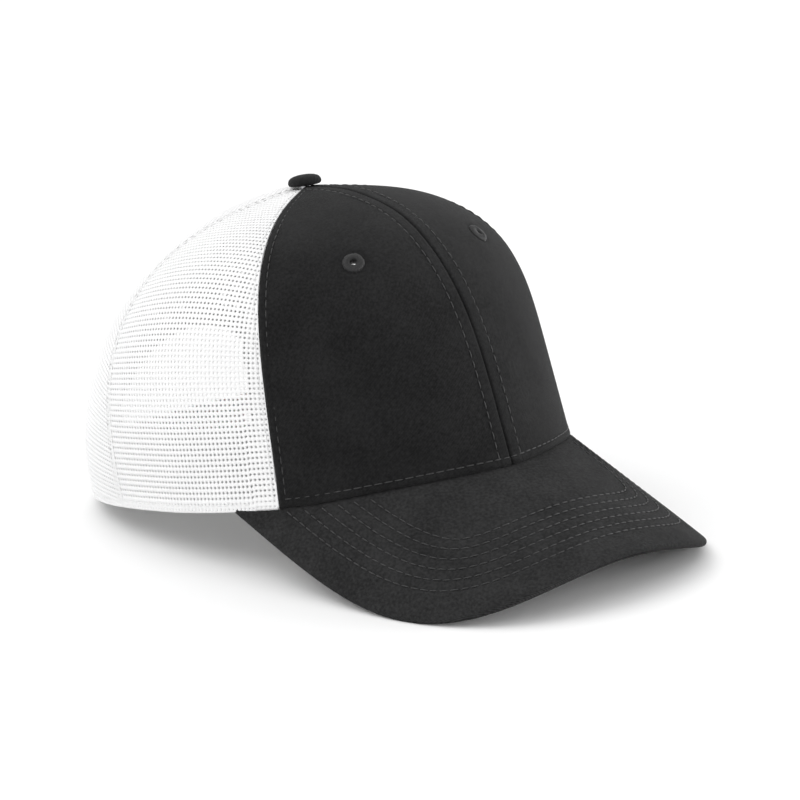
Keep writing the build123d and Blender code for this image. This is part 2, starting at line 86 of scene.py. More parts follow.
ARCH_RADIUS, ARCH_CENTRE_Z, BINDING_WIDTH = 37.0, 17.0, 7.6
BUTTON_HEIGHT = 4.6
EYELET_AZIMUTH, EYELET_HEIGHT, EYELET_RADIUS, EYELET_BORE = 26.0, 84.8, 4.2, 1.2
TIP_BACK, LIFT, SHIFT_Y = 10.07, 17.97, 26.54

TIP = math.radians(TIP_BACK)
TURN = np.array([[1, 0, 0], [0, math.cos(TIP), math.sin(TIP)], [0, -math.sin(TIP), math.cos(TIP)]])
SIDES = {"right": 1, "left": -1}


def world(points):
    """Points of the cap's own axes in millimetres, as places in the standing pose in metres."""
    return (np.asarray(points, float) @ TURN.T + np.array([0, SHIFT_Y, LIFT])) / 1000


# ---- The shape of the crown and the visor ----
def around(values, azimuth):
    """A value given at the front, side and rear, at any azimuth between them."""
    front, side, rear = values
    angle = np.radians(azimuth)
    mean = (front + rear + 2 * side) / 4
    return mean + (front - rear) / 2 * np.cos(angle) + (front + rear - 2 * side) / 4 * np.cos(2 * angle)


NEWTON_STEPS = 14


def rim_radius(azimuth):
    """Distance from the button's axis to the rim."""
    azimuth = np.asarray(azimuth, float)
    across, along = -np.sin(np.radians(azimuth)), -np.cos(np.radians(azimuth))
    radius = np.full(azimuth.shape, RIM_HALF_WIDTH)
    for _ in range(NEWTON_STEPS):
        y = radius * along - RIM_CENTRE_Y
        power = np.where(y > 0, RIM_REAR_POWER, RIM_FRONT_POWER)
        part_x = np.maximum(np.abs(radius * across) / RIM_HALF_WIDTH, 1e-9)
        part_y = np.maximum(np.abs(y) / RIM_HALF_LENGTH, 1e-9)
        slope_x = power * part_x ** (power - 1) * np.abs(across) / RIM_HALF_WIDTH
        slope_y = power * part_y ** (power - 1) * along * np.sign(y) / RIM_HALF_LENGTH
        radius = radius - (part_x**power + part_y**power - 1) / (slope_x + slope_y)
    return radius


PITCH_SIN, PITCH_COS = math.sin(math.radians(VISOR_PITCH)), math.cos(math.radians(VISOR_PITCH))
VISOR_ROOT_Y = -float(rim_radius(0.0))
VISOR_NORMAL = np.array([0, -PITCH_SIN, PITCH_COS])
VISOR_FORWARD = np.array([0, -PITCH_COS, -PITCH_SIN])


def visor_forward(x, y):
    """Distance forward of the visor's root of a plan point on its upper face."""
    drop = VISOR_BEND - np.sqrt(VISOR_BEND**2 - np.asarray(x, float) ** 2)
    return (VISOR_ROOT_Y - y + PITCH_SIN * drop) / PITCH_COS


def visor_fall(x, y):
    """Height of the visor's upper face at a plan point, from its root."""
    drop = VISOR_BEND - np.sqrt(VISOR_BEND**2 - np.asarray(x, float) ** 2)
    return -PITCH_SIN * visor_forward(x, y) - PITCH_COS * drop


END_RADIUS = float(rim_radius(VISOR_END))
END_X = END_RADIUS * math.sin(math.radians(VISOR_END))
END_Y = -END_RADIUS * math.cos(math.radians(VISOR_END))
VISOR_ROOT_Z = -float(visor_fall(END_X, END_Y))
VISOR_BACK = END_Y - VISOR_ROOT_Y
VISOR_CENTRE = np.array([0, VISOR_ROOT_Y, VISOR_ROOT_Z]) - VISOR_NORMAL * VISOR_BEND


def foot_height(azimuth, radius):
    """Height of the crown's lower edge: on the visor's upper face in front, on the rim plane behind."""
    angle = np.radians(azimuth)
    height = VISOR_ROOT_Z + visor_fall(radius * np.sin(angle), -radius * np.cos(angle)) + VISOR_CLEARANCE
    return np.where(np.abs(azimuth) < VISOR_END, np.maximum(height, 0), 0)


def crown(azimuth, t, depth=0.0):
    """Points of the crown: t runs from 0 at its foot to 1 at the button, depth is below the skin."""
    azimuth, t, depth = np.broadcast_arrays(*(np.asarray(v, float) for v in (azimuth, t, depth)))
    shrink = 1 - depth / CROWN_HEIGHT
    radius = rim_radius(azimuth) - depth
    lean = np.tan(np.radians(around(WALL_LEAN, azimuth)))
    slope = np.tan(np.radians(around(TOP_SLOPE, azimuth)))
    height = around(FOOT_HEIGHT, azimuth) * shrink
    reach = around(TOP_REACH, azimuth) * shrink
    low = foot_height(azimuth, radius)
    low = foot_height(azimuth, radius - low * lean)
    top = CROWN_HEIGHT - depth
    t = t * (1 - APEX_HOLE / (3 * reach))
    weights = (1 - t) ** 3, 3 * t * (1 - t) ** 2, 3 * t * t * (1 - t), t**3
    r = weights[0] * (radius - low * lean) + weights[1] * (radius - height * lean) + weights[2] * reach
    z = weights[0] * low + weights[1] * height + weights[2] * (top - reach * slope) + weights[3] * top
    angle = np.radians(azimuth)
    return np.stack([-r * np.sin(angle), -r * np.cos(angle), z], -1)


T_GRID = np.linspace(0, 1, 501)


def t_at_height(azimuth, height, depth=0.0):
    """The t at which the profile at one azimuth reaches a height."""
    z = crown(np.full(T_GRID.shape, float(azimuth)), T_GRID, depth)[:, 2]
    z = np.maximum.accumulate(z)
    return float(np.interp(height, z, T_GRID))


AZIMUTH_STEP, T_STEP = 0.3, 0.002
INSIDE = np.array([0, RIM_CENTRE_Y, 30])


def crown_normal(azimuth, t):
    """Unit normal of the crown's skin, pointing away from a place inside the crown."""
    here = crown(azimuth, t)
    along = crown(np.asarray(azimuth) + AZIMUTH_STEP, t) - here
    up = crown(azimuth, np.asarray(t) + T_STEP) - here
    normal = np.cross(up, along)
    normal /= np.linalg.norm(normal, axis=-1, keepdims=True)
    flip = np.sign((normal * (here - INSIDE)).sum(-1, keepdims=True))
    return normal * flip


def visor(arc, forward, depth=0.0):
    """Points of the visor: arc is across along the bend, forward from its root, depth below its top."""
    arc, forward, depth = np.broadcast_arrays(*(np.asarray(v, float) for v in (arc, forward, depth)))
    angle = arc / VISOR_BEND
    radius = VISOR_BEND - depth
    out = np.zeros(arc.shape + (3,))
    out[..., 0] = radius * np.sin(angle)
    out += (radius * np.cos(angle))[..., None] * VISOR_NORMAL + forward[..., None] * VISOR_FORWARD
    return out + VISOR_CENTRE


def lengths(path):
    """Distance along a path at each of its points."""
    return np.concatenate([[0], np.cumsum(np.linalg.norm(np.diff(path, axis=0), axis=1))])


def at_lengths(path, along, places):
    """Values of a path at places along it, where along holds the distance at each of its points."""
    return np.stack([np.interp(places, along, column) for column in path.T], -1)


EDGE_SAMPLES = 4001


def visor_edge(inset, count):
    """The visor's outer edge set in by a distance, as (arc, forward) points evenly spaced along it."""
    fine = np.linspace(0, math.pi, EDGE_SAMPLES)
    arc = VISOR_HALF_WIDTH * np.sign(np.cos(fine)) * np.abs(np.cos(fine)) ** (2 / VISOR_SIDE_POWER)
    forward = -VISOR_BACK + (VISOR_LENGTH + VISOR_BACK) * np.sin(fine) ** (2 / VISOR_FRONT_POWER)
    edge = np.stack([arc, forward], 1)
    step = np.gradient(edge, axis=0)
    step /= np.linalg.norm(step, axis=1, keepdims=True) + 1e-12
    inward = np.stack([-step[:, 1], step[:, 0]], 1)
    edge = edge + inward * inset
    length = lengths(edge)
    return at_lengths(edge, length, np.linspace(0, length[-1], count))


def visor_root_edge(count):
    """The visor's inner edge, just inside the crown's foot, from the wearer's left to right."""
    azimuth = np.linspace(-VISOR_TAIL, VISOR_TAIL, count)
    foot = crown(azimuth, 0)
    radius = np.hypot(foot[:, 0], foot[:, 1]) - VISOR_INSIDE
    x, y = -radius * np.sin(np.radians(azimuth)), -radius * np.cos(np.radians(azimuth))
    return np.stack([VISOR_BEND * np.arcsin(x / VISOR_BEND), visor_forward(x, y)], 1)


# ---- Mesh helpers ----
def rework(obj, change):
    """Runs a change on a mesh that is opened as a bmesh."""
    work = bmesh.new()
    work.from_mesh(obj.data)
    change(work)
    work.to_mesh(obj.data)
    work.free()


def face_out(work):
    """Makes the faces of a closed mesh point outwards."""
    bmesh.ops.recalc_face_normals(work, faces=work.faces)


def drop_loose(work):
    """Removes the points of a mesh that no face uses."""
    bmesh.ops.delete(work, geom=[v for v in work.verts if not v.link_faces], context="VERTS")


def piece(name, points, faces, body="cap"):
    """A smooth closed mesh from points in the cap's own axes, in millimetres, riding on a body."""
    mesh = bpy.data.meshes.new(name)
    mesh.from_pydata([tuple(p) for p in world(points)], [], [tuple(int(i) for i in f) for f in faces])
    mesh.validate()
    mesh.polygons.foreach_set("use_smooth", [True] * len(mesh.polygons))
    obj = bpy.data.objects.new(name, mesh)
    bpy.context.collection.objects.link(obj)
    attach(obj, body)
    rework(obj, face_out)
    return obj


def add_uv(obj, coords):
    """A UV map in millimetres, one coordinate pair per vertex, for weaves that follow the cloth."""
    layer = obj.data.uv_layers.new(name="cloth")
    index = np.empty(len(obj.data.loops), int)
    obj.data.loops.foreach_get("vertex_index", index)
    layer.data.foreach_set("uv", np.asarray(coords, float)[index].ravel())


def grid_faces(rows, columns):
    """Quads of a grid of points numbered row by row."""
    i, j = np.meshgrid(np.arange(rows - 1), np.arange(columns - 1), indexing="ij")
    a = (i * columns + j).ravel()
    return np.stack([a, a + 1, a + columns + 1, a + columns], 1)


def slab(outer, inner, keep=None):
    """Points and faces of a closed sheet between two grids of points, with holes where keep is False."""
    rows, columns = outer.shape[:2]
    count = rows * columns
    points = np.concatenate([outer.reshape(-1, 3), inner.reshape(-1, 3)])
    front = grid_faces(rows, columns)
    if keep is not None:
        front = front[keep.ravel()]
    edges = np.stack([front, np.roll(front, -1, axis=1)], -1).reshape(-1, 2)
    twins = set(map(tuple, edges[:, ::-1].tolist()))
    border = np.array([edge for edge in edges.tolist() if tuple(edge) not in twins])
    start, stop = border.T
    wall = np.stack([start, start + count, stop + count, stop], 1)
    return points, np.concatenate([front, front[:, ::-1] + count, wall])


def ring_faces(rings, sides, closed=False, first=0):
    """Quads between rings of points numbered ring by ring: capped at both ends, or joined up if closed."""
    faces = []
    for k in range(rings if closed else rings - 1):
        low, high = first + k * sides, first + (k + 1) % rings * sides
        for q in range(sides):
            p = (q + 1) % sides
            faces.append((low + q, low + p, high + p, high + q))
    if not closed:
        last = first + (rings - 1) * sides
        faces.append(tuple(range(first, first + sides))[::-1])
        faces.append(tuple(range(last, last + sides)))
    return faces


def bell(distance, width):
    """1 at no distance, falling smoothly to 0 over about a width."""
    return np.exp(-((np.asarray(distance, float) / width) ** 2))


def ease(low, high, value):
    """0 below low, 1 above high, smooth between."""
    x = np.clip((np.asarray(value, float) - low) / (high - low), 0, 1)
    return x * x * (3 - 2 * x)


def dense_ends(count, power):
    """Values from 0 to 1, closer together towards both ends."""
    x = np.linspace(-1, 1, count)
    y = np.sign(x) * (1 - (1 - np.abs(x)) ** power)
    return (y + 1) / 2


RIPPLE_WAVES = 7


def ripple(points, size, height, seed):
    """A soft random unevenness of a surface, as a sum of a few waves."""
    rng = np.random.default_rng(seed)
    total = np.zeros(points.shape[:-1])
    for _ in range(RIPPLE_WAVES):
        direction = rng.normal(size=3)
        direction /= np.linalg.norm(direction)
        wave = 2 * math.pi / (size * rng.uniform(0.7, 1.6))
        total += np.sin(points @ direction * wave + rng.uniform(0, 2 * math.pi))
    return total * height / 3


STITCH_SIDES, STITCH_RINGS = 6, 5
STITCH_END = 0.12
STITCH_THIN, STITCH_SWELL, STITCH_LIFT = 0.55, 0.45, 1.6
LENGTH_JITTER, SIDE_JITTER = 0.08, 0.05


def stitch_mesh(paths, normals, length=2.9, gap=0.9, radius=0.24, rise=0.1, seed=1):
    """Points and faces of the threads of several rows of stitches along paths on a surface."""
    rng = np.random.default_rng(seed)
    points, faces = [], []
    turn = 2 * math.pi * np.arange(STITCH_SIDES) / STITCH_SIDES
    arch = np.sin(np.linspace(STITCH_END, math.pi - STITCH_END, STITCH_RINGS))
    size = radius * (STITCH_THIN + STITCH_SWELL * arch)
    lift = rise * (arch - STITCH_THIN) * STITCH_LIFT
    for path, normal in zip(paths, normals):
        along = lengths(path)
        count = max(1, int(along[-1] / (length + gap)))
        pitch = along[-1] / count
        for k in range(count):
            start = (k + 0.5) * pitch - pitch * length / (length + gap) / 2
            stop = start + pitch * length / (length + gap) + rng.uniform(-LENGTH_JITTER, LENGTH_JITTER)
            places = np.linspace(start, stop, STITCH_RINGS)
            centre, up = at_lengths(path, along, places), at_lengths(normal, along, places)
            forward = np.gradient(centre, axis=0)
            forward /= np.linalg.norm(forward, axis=1, keepdims=True)
            side = np.cross(forward, up)
            side /= np.linalg.norm(side, axis=1, keepdims=True)
            centre = centre + up * lift[:, None] + side * rng.uniform(-SIDE_JITTER, SIDE_JITTER)
            faces += ring_faces(STITCH_RINGS, STITCH_SIDES, first=len(points) * STITCH_SIDES)
            for r in range(STITCH_RINGS):
                ring = np.cos(turn)[:, None] * side[r] + np.sin(turn)[:, None] * up[r]
                points.append(centre[r] + size[r] * ring)
    return np.concatenate(points), faces


def stitches(name, paths, normals, slot, material, **kind):
    """A piece of thread: several rows of stitches."""
    points, faces = stitch_mesh(paths, normals, **kind)
    finish_piece(piece(name, points, faces), slot, material)


def finish_piece(obj, slot, material, *nodes):
    """Gives a piece its material, and names the CAD nodes that it stands for. The slot is not used."""
    obj.data.materials.clear()
    obj.data.materials.append(material)
    if nodes:
        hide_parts(*nodes)


# ---- Materials ----
class Nodes:
    """A material's node tree, built by short calls."""

    def __init__(self, name, color, roughness, **uniform):
        self.material = bpy.data.materials.new(name)
        self.material.use_nodes = True
        self.tree = self.material.node_tree
        self.shader = self.tree.nodes["Principled BSDF"]
        self.shader.inputs["Base Color"].default_value = (*color, 1)
        self.shader.inputs["Roughness"].default_value = roughness
        for socket, value in uniform.items():
            self.shader.inputs[socket.replace("_", " ")].default_value = value
        self.material.diffuse_color = (*color, 1)

    def node(self, kind, inputs=(), **settings):
        made = self.tree.nodes.new(kind)
        for key, value in settings.items():
            setattr(made, key, value)
        for key, value in dict(inputs).items():
            if isinstance(value, bpy.types.NodeSocket):
                self.tree.links.new(value, made.inputs[key])
            else:
                made.inputs[key].default_value = value
        return made

    def coordinates(self, kind="Object", scale=(1, 1, 1), turn=0.0):
        """Object coordinates in metres, or UV coordinates in millimetres, scaled and turned."""
        source = self.node("ShaderNodeTexCoord").outputs[kind]
        mapping = self.node("ShaderNodeMapping", {"Vector": source, "Scale": scale})
        mapping.inputs["Rotation"].default_value = (0, 0, turn)
        return mapping.outputs["Vector"]

    def wrapped(self, turn=0.0):
        """Coordinates in millimetres that follow a cloth round the cap: along its girth, and up."""
        source = self.node("ShaderNodeTexCoord").outputs["Object"]
        place = self.node("ShaderNodeSeparateXYZ", {0: source}).outputs
        angle = self.math("ARCTAN2", place["X"], self.math("SUBTRACT", place["Y"], SHIFT_Y / 1000))
        along = self.math("MULTIPLY", angle, RIM_HALF_WIDTH)
        up = self.math("MULTIPLY", place["Z"], 1000.0)
        joined = self.node("ShaderNodeCombineXYZ", {"X": along, "Y": up}).outputs[0]
        mapping = self.node("ShaderNodeMapping", {"Vector": joined})
        mapping.inputs["Rotation"].default_value = (0, 0, turn)
        return mapping.outputs["Vector"]

    def noise(self, vector, scale, detail=3.0, roughness=0.55):
        made = self.node(
            "ShaderNodeTexNoise", {"Vector": vector, "Scale": scale, "Detail": detail, "Roughness": roughness}
        )
        return made.outputs["Fac"]

    def wave(self, vector, scale, distortion=0.0):
        made = self.node(
            "ShaderNodeTexWave", {"Vector": vector, "Scale": scale, "Distortion": distortion, "Detail": 1.0}
        )
        return made.outputs["Fac"]

    def math(self, operation, first, second):
        return self.node("ShaderNodeMath", {0: first, 1: second}, operation=operation).outputs[0]

    def ramp(self, value, low, high, low_at=0.0, high_at=1.0):
        made = self.node("ShaderNodeValToRGB", {"Fac": value})
        made.color_ramp.elements[0].position = low_at
        made.color_ramp.elements[0].color = (*low, 1)
        made.color_ramp.elements[1].position = high_at
        made.color_ramp.elements[1].color = (*high, 1)
        return made.outputs["Color"]

    def spread(self, value, low, high):
        """A 0 to 1 value taken to another range."""
        return self.node("ShaderNodeMapRange", {"Value": value, "To Min": low, "To Max": high}).outputs[0]

    def bump(self, height, distance, strength=1.0, after=None):
        inputs = {"Height": height, "Distance": distance, "Strength": strength}
        if after is not None:
            inputs["Normal"] = after
        return self.node("ShaderNodeBump", inputs).outputs["Normal"]

    def set(self, **links):
        for socket, value in links.items():
            self.tree.links.new(value, self.shader.inputs[socket.replace("_", " ")])
        return self.material


RIB_BAND, THREAD_BAND = 0.314, 0.40
RIB_TURN, THREAD_TURN = math.radians(52), math.radians(-8)


def twill(name, dark, light, pitch=0.45, roughness=0.85, sheen=0.05, gloss=0.12, relief=0.00014):
    """Brushed twill: fine diagonal ribs crossed by threads, in UV millimetres, with soft lint."""
    n = Nodes(name, light, roughness, Sheen_Weight=sheen, Sheen_Roughness=0.5, Specular_IOR_Level=gloss)
    ribs = n.wave(n.coordinates("UV", turn=RIB_TURN), RIB_BAND / pitch, 0.6)
    threads = n.wave(n.coordinates("UV", turn=THREAD_TURN), THREAD_BAND / pitch, 0.8)
    weave = n.math("MULTIPLY", ribs, n.spread(threads, 0.6, 1.0))
    cloud = n.noise(n.coordinates("Object"), 55.0, 4.0)
    lint = n.noise(n.coordinates("Object"), 900.0, 2.0)
    mix = n.math("ADD", n.math("MULTIPLY", weave, 0.45), n.math("MULTIPLY", cloud, 0.55))
    mix = n.math("ADD", mix, n.math("MULTIPLY", n.math("SUBTRACT", lint, 0.5), 0.9))
    color = n.ramp(mix, dark, light, 0.15, 0.8)
    rough = n.spread(n.noise(n.coordinates("Object"), 120.0), roughness - 0.08, roughness + 0.08)
    normal = n.bump(weave, relief)
    normal = n.bump(lint, relief * 0.6, 0.6, normal)
    return n.set(Base_Color=color, Roughness=rough, Normal=normal)


def plain_weave(name, dark, light, pitch=0.6, roughness=0.8, relief=0.00007, sheen=0.15):
    """Plain weave: two crossed sets of threads that follow the cloth round the cap."""
    n = Nodes(name, light, roughness, Sheen_Weight=sheen, Specular_IOR_Level=0.3)
    warp = n.wave(n.wrapped(), RIB_BAND / pitch, 0.4)
    weft = n.wave(n.wrapped(math.pi / 2), RIB_BAND / pitch, 0.4)
    weave = n.math("MULTIPLY", warp, weft)
    cloud = n.noise(n.coordinates("Object"), 70.0, 4.0)
    mix = n.math("ADD", n.math("MULTIPLY", weave, 0.5), n.math("MULTIPLY", cloud, 0.5))
    color = n.ramp(mix, dark, light, 0.15, 0.7)
    rough = n.spread(cloud, roughness - 0.06, roughness + 0.06)
    return n.set(Base_Color=color, Roughness=rough, Normal=n.bump(weave, relief))


def thread(name, dark, light, roughness=0.55):
    """Spun thread: fine fibres and a little gloss."""
    n = Nodes(name, light, roughness, Sheen_Weight=0.08, Specular_IOR_Level=0.35)
    fibres = n.noise(n.coordinates("Object"), 2500.0, 2.0)
    color = n.ramp(fibres, dark, light, 0.3, 0.75)
    rough = n.spread(fibres, roughness - 0.1, roughness + 0.1)
    return n.set(Base_Color=color, Roughness=rough, Normal=n.bump(fibres, 0.00005))


def net_yarn(name):
    """Knitted polyester: bright white yarn with fine filaments, a little light passing through."""
    n = Nodes(
        name, (0.9, 0.9, 0.9), 0.55, Specular_IOR_Level=0.35, Subsurface_Weight=0.15, Subsurface_Scale=0.001
    )
    n.shader.inputs["Subsurface Radius"].default_value = (1, 1, 1)
    filaments = n.noise(n.coordinates("Object", (1, 1, 2.5)), 1600.0, 3.0)
    cloud = n.noise(n.coordinates("Object"), 40.0)
    mix = n.math("ADD", n.math("MULTIPLY", filaments, 0.6), n.math("MULTIPLY", cloud, 0.4))
    color = n.ramp(mix, (0.77, 0.77, 0.775), (0.885, 0.885, 0.885), 0.25, 0.7)
    rough = n.spread(filaments, 0.45, 0.7)
    return n.set(Base_Color=color, Roughness=rough, Normal=n.bump(filaments, 0.00006))


def moulded(name, dark, light, roughness=0.38):
    """Moulded plastic: even colour with faint flow marks and fine grain."""
    n = Nodes(name, light, roughness, Specular_IOR_Level=0.5, Subsurface_Weight=0.2, Subsurface_Scale=0.002)
    grain = n.noise(n.coordinates("Object"), 1400.0, 2.0)
    flow = n.noise(n.coordinates("Object", (1, 3, 1)), 60.0, 3.0)
    color = n.ramp(flow, dark, light, 0.3, 0.7)
    rough = n.spread(n.noise(n.coordinates("Object"), 300.0), roughness - 0.08, roughness + 0.1)
    return n.set(Base_Color=color, Roughness=rough, Normal=n.bump(grain, 0.00002))


def metal(name, dark, light, roughness=0.35):
    """Stamped metal: drawn lines and small wear marks."""
    n = Nodes(name, light, roughness, Metallic=1.0)
    lines = n.noise(n.coordinates("Object", (1, 1, 12)), 400.0, 4.0)
    color = n.ramp(lines, dark, light, 0.3, 0.7)
    rough = n.spread(lines, roughness - 0.1, roughness + 0.15)
    return n.set(Base_Color=color, Roughness=rough, Normal=n.bump(lines, 0.00002))


BLACK_TWILL = twill("black_twill", (0.003, 0.003, 0.0032), (0.02, 0.02, 0.0205))
# The visor's twill is the crown's near-black cloth, drawn lighter than the crown's: painted light, standing
# for the brighter light that falls on the visor.
VISOR_TWILL_PAINTED_LIGHT = twill("visor_twill", (0.01, 0.01, 0.0102), (0.042, 0.042, 0.0425), sheen=0.02, gloss=0.06)
BUTTON_TWILL = twill("button_twill", (0.008, 0.008, 0.0083), (0.019, 0.019, 0.0195))
BLACK_THREAD = thread("black_thread", (0.018, 0.018, 0.0183), (0.05, 0.05, 0.0505), 0.5)
EYELET_THREAD = thread("eyelet_thread", (0.007, 0.007, 0.0073), (0.022, 0.022, 0.0225), 0.5)
NET = net_yarn("white_net")
WHITE_THREAD = thread("white_thread", (0.7, 0.7, 0.7), (0.92, 0.92, 0.92))
TAPE_CLOTH = plain_weave("seam_tape_cloth", (0.68, 0.68, 0.67), (0.9, 0.9, 0.89), 0.5)
BAND_CLOTH = plain_weave("sweatband_cloth", (0.72, 0.72, 0.71), (0.92, 0.92, 0.91), 0.55)
BINDING_CLOTH = plain_weave("binding_cloth", (0.74, 0.74, 0.74), (0.93, 0.93, 0.93), 0.45)
BUCKRAM = plain_weave("buckram", (0.6, 0.59, 0.57), (0.9, 0.89, 0.86), 1.1, 0.9, 0.0002)
LABEL_CLOTH = plain_weave("label_ribbon", (0.8, 0.8, 0.79), (0.95, 0.95, 0.94), 0.3, 0.6)
BOARD = moulded("visor_board", (0.62, 0.62, 0.6), (0.8, 0.8, 0.78), 0.6)
STRAP = moulded("strap_plastic", (0.84, 0.84, 0.84), (0.93, 0.93, 0.93))
BUTTON_METAL = metal("button_metal", (0.55, 0.55, 0.57), (0.78, 0.78, 0.8))

# ---- Front panels ----
SEAM_STITCH, SIDE_STITCH, BASE_STITCH = 5.2, 3.2, 3.6
CLOTH_THICK, BORE_MARGIN = 0.9, 0.5


def panel_relief(points, side, foot):
    """How far a front panel's cloth lies below its plain skin: seam roll, allowances and stitch lines."""
    centre = np.abs(points[..., 0])
    seam = math.radians(side * FRONT_SIDE_SEAM)
    edge = np.abs(points[..., 0] * math.cos(seam) - points[..., 1] * math.sin(seam))
    height = np.maximum(points[..., 2] - foot, 0)
    sunk = 0.6 * bell(centre, 0.32) + 0.12 * bell(centre, 0.9)
    sunk -= 0.14 * ease(0.3, 1.4, centre) * (1 - ease(SEAM_STITCH - 0.2, SEAM_STITCH + 1.6, centre))
    sunk += 0.24 * bell(centre - SEAM_STITCH, 0.5)
    sunk += 0.75 * bell(edge, 0.5)
    sunk -= 0.3 * ease(0.2, 1.2, edge) * (1 - ease(SIDE_STITCH, SIDE_STITCH + 1.2, edge))
    sunk += 0.28 * bell(edge - SIDE_STITCH, 0.55)
    sunk += 0.6 * bell(height, 0.7)
    sunk -= 0.22 * ease(0.5, 1.6, height) * (1 - ease(BASE_STITCH, BASE_STITCH + 1.5, height))
    sunk += 0.28 * bell(height - BASE_STITCH, 0.6)
    sunk -= ripple(points, 38, 0.2, 3)
    return sunk


def front_panel(name, side):
    """One dark front panel, with its seam roll, stitch channels and eyelet dimple."""
    columns, rows = 150, 190
    azimuth = side * FRONT_SIDE_SEAM * dense_ends(columns, 1.9)
    azimuth, t = np.meshgrid(azimuth, dense_ends(rows, 1.35))
    plain = crown(azimuth, t)
    sunk = panel_relief(plain, side, plain[0:1, :, 2])
    eyelet = crown(side * EYELET_AZIMUTH, t_at_height(side * EYELET_AZIMUTH, EYELET_HEIGHT))
    near = np.linalg.norm(plain - eyelet, axis=-1)
    sunk += 0.35 * bell(near - EYELET_RADIUS - 0.2, 0.9)
    outer = crown(azimuth, t, sunk)
    inner = crown(azimuth, t, CLOTH_THICK + 0 * t)
    clear = (near[1:, 1:] + near[:-1, :-1]) / 2 > EYELET_BORE + BORE_MARGIN
    points, faces = slab(outer, inner, clear)
    obj = piece(name, points, faces)
    along = lengths(plain[:, columns // 2])
    across = np.linalg.norm(plain[..., :2], axis=-1) * np.radians(azimuth)
    uv = np.stack([across, np.broadcast_to(along[:, None], across.shape)], -1).reshape(-1, 2)
    add_uv(obj, np.concatenate([uv, uv]))
    rework(obj, drop_loose)
    return obj


for side_name, side in SIDES.items():
    obj = front_panel(f"front_panel_{side_name}_cloth", side)
    finish_piece(obj, "black_twill", BLACK_TWILL, f"front_panel_{side_name}")


def offset_from_seam(seam, distance, depth, low=3.0, high=0.985, count=160):
    """A path on the crown at a distance beside a seam's meridian, with its normals."""
    t = np.linspace(t_at_height(seam, low), high, count)
    radius = np.hypot(*crown(np.full(count, float(seam)), t)[:, :2].T)
    keep = radius > abs(distance) * 1.15
    t, radius = t[keep], radius[keep]
    azimuth = seam + np.degrees(np.arcsin(distance / radius))
    return crown(azimuth, t, depth), crown_normal(azimuth, t)


STITCH_DEPTH = -0.02
seam_paths = []
for side in SIDES.values():
    seam_paths.append(offset_from_seam(0, side * SEAM_STITCH, STITCH_DEPTH, 5.5))
    seam_paths.append(offset_from_seam(side * FRONT_SIDE_SEAM, -side * SIDE_STITCH, STITCH_DEPTH, 4.5))
stitches("front_seam_stitching", *zip(*seam_paths), "black_thread", BLACK_THREAD, seed=4)

base_azimuth = np.linspace(-FRONT_SIDE_SEAM + 1.5, FRONT_SIDE_SEAM - 1.5, 260)
base_t = np.array([t_at_height(a, h) for a, h in zip(
    base_azimuth, crown(base_azimuth, 0)[:, 2] + BASE_STITCH)])
stitches(
    "front_base_stitching", [crown(base_azimuth, base_t, STITCH_DEPTH)], [crown_normal(base_azimuth, base_t)],
    "black_thread", BLACK_THREAD, seed=5,
)


# ---- Eyelets: satin stitches round a hole ----
def eyelet(name, side):
    """An embroidered eyelet: a domed ring whose surface is radial threads."""
    azimuth = side * EYELET_AZIMUTH
    t = t_at_height(azimuth, EYELET_HEIGHT)
    centre, normal = crown(azimuth, t), crown_normal(azimuth, t)
    across = np.cross([0, 0, 1], normal)
    across /= np.linalg.norm(across)
    up = np.cross(normal, across)
    threads, points_per_thread = 46, 6
    count = threads * points_per_thread
    angle = np.linspace(0, 2 * math.pi, count, endpoint=False)
    profile = np.array([(1.2, -2.3), (1.15, -0.9), (1.2, 0.2), (1.45, 0.62), (2.0, 0.88), (2.8, 0.85),
                        (3.6, 0.55), (4.05, 0.1), (4.15, -0.35), (3.6, -0.4), (2.0, -0.4), (1.9, -2.3)])
    thread_height, edge_unevenness = 0.14, 0.12
    ridge = np.abs(np.sin(angle * threads / 2)) ** 0.7
    rng = np.random.default_rng(11 + side)
    thread_angle = np.linspace(0, 2 * math.pi, threads + 1)
    uneven = edge_unevenness * np.interp(angle, thread_angle, rng.uniform(-1, 1, threads + 1))
    points = []
    for k, (radius, rise) in enumerate(profile):
        lifted = 2 <= k <= 7
        r = radius + (uneven if k in (6, 7, 8) else 0)
        h = rise + (thread_height * (ridge - 0.5) if lifted else 0)
        points.append(centre + (r * np.cos(angle))[:, None] * across + (r * np.sin(angle))[:, None] * up
                      + np.broadcast_to(h, angle.shape)[:, None] * normal)
    return piece(name, np.concatenate(points), ring_faces(len(profile), count, closed=True))


for side_name, side in SIDES.items():
    obj = eyelet(f"eyelet_{side_name}_embroidery", side)
    finish_piece(obj, "black_thread", EYELET_THREAD, f"eyelet_{side_name}")

# ---- Net panels: real open cells on a lattice square to each gore's own centre line ----
ROW_PITCH, COLUMN_PITCH = 2.08, 1.82
ROWS_BELOW = 16
ROW_TURN = 32.0
NET_BACK = 0.62
GORE_SAMPLES, GORE_HALF_WIDTH = 97, 70


